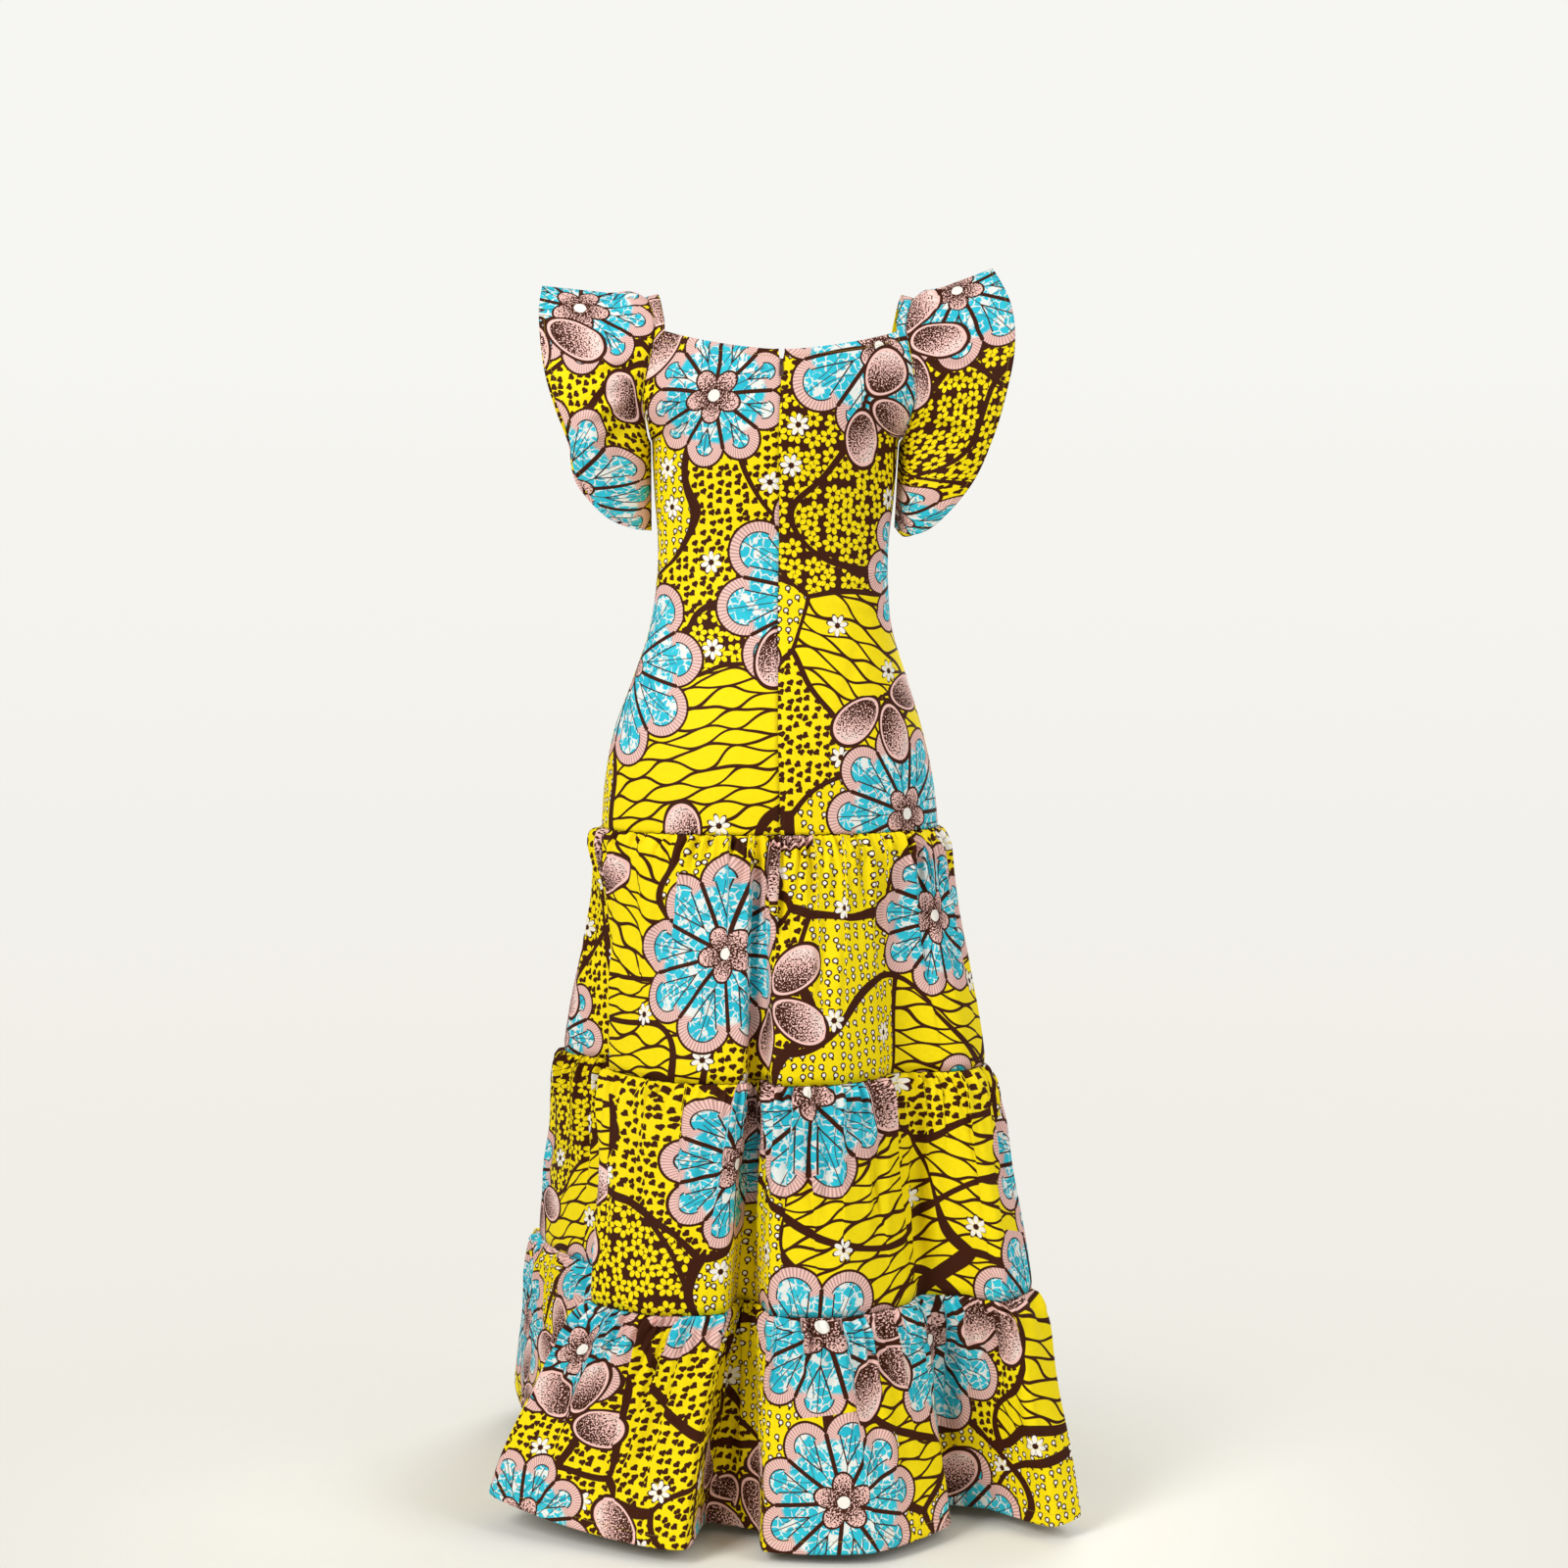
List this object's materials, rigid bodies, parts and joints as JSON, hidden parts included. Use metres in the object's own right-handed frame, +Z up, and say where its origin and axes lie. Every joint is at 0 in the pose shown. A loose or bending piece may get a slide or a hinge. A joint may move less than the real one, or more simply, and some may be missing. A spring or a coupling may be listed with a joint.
{
  "type": "ankara wax print dress",
  "caption": "Full-length fitted dress in wax print cotton with butterfly sleeves, a scooped neck, a back zip and a gathered tiered skirt, held open as worn.",
  "frame": {"origin": "midway between the two shoulder seams, where the wearer's shoulders hold the dress up", "axes": "+Z up, the front of the dress faces -Y, the wearer's left is +X"},
  "size_m": [0.6681, 0.6471, 1.4266],
  "materials": {
    "wax_print_cotton": "plain-woven cotton with a printed pattern, faint wax sheen",
    "zip_tape": "woven polyester tape with a fine coil",
    "zip_metal": "satin enamel"
  },
  "bodies": {
    "dress": {"front_panel": "wax_print_cotton", "back_left_panel": "wax_print_cotton", "back_right_panel": "wax_print_cotton", "left_sleeve": "wax_print_cotton", "right_sleeve": "wax_print_cotton", "tier_1_back": "wax_print_cotton", "tier_1_front": "wax_print_cotton", "tier_2_back": "wax_print_cotton", "tier_2_front": "wax_print_cotton", "tier_3_back": "wax_print_cotton", "tier_3_front": "wax_print_cotton", "back_zip": "zip_tape", "zip_slider": "zip_metal"},
    "pull_tab": {"zip_pull": "zip_metal"}
  },
  "joints": [
    {"name": "pull_hinge", "type": "hinge", "parent": "dress", "child": "pull_tab", "pos_m": [-0.00475, 0.0972, -0.0838], "axis": [1, 0, 0], "range_deg": [0, 150]}
  ]
}
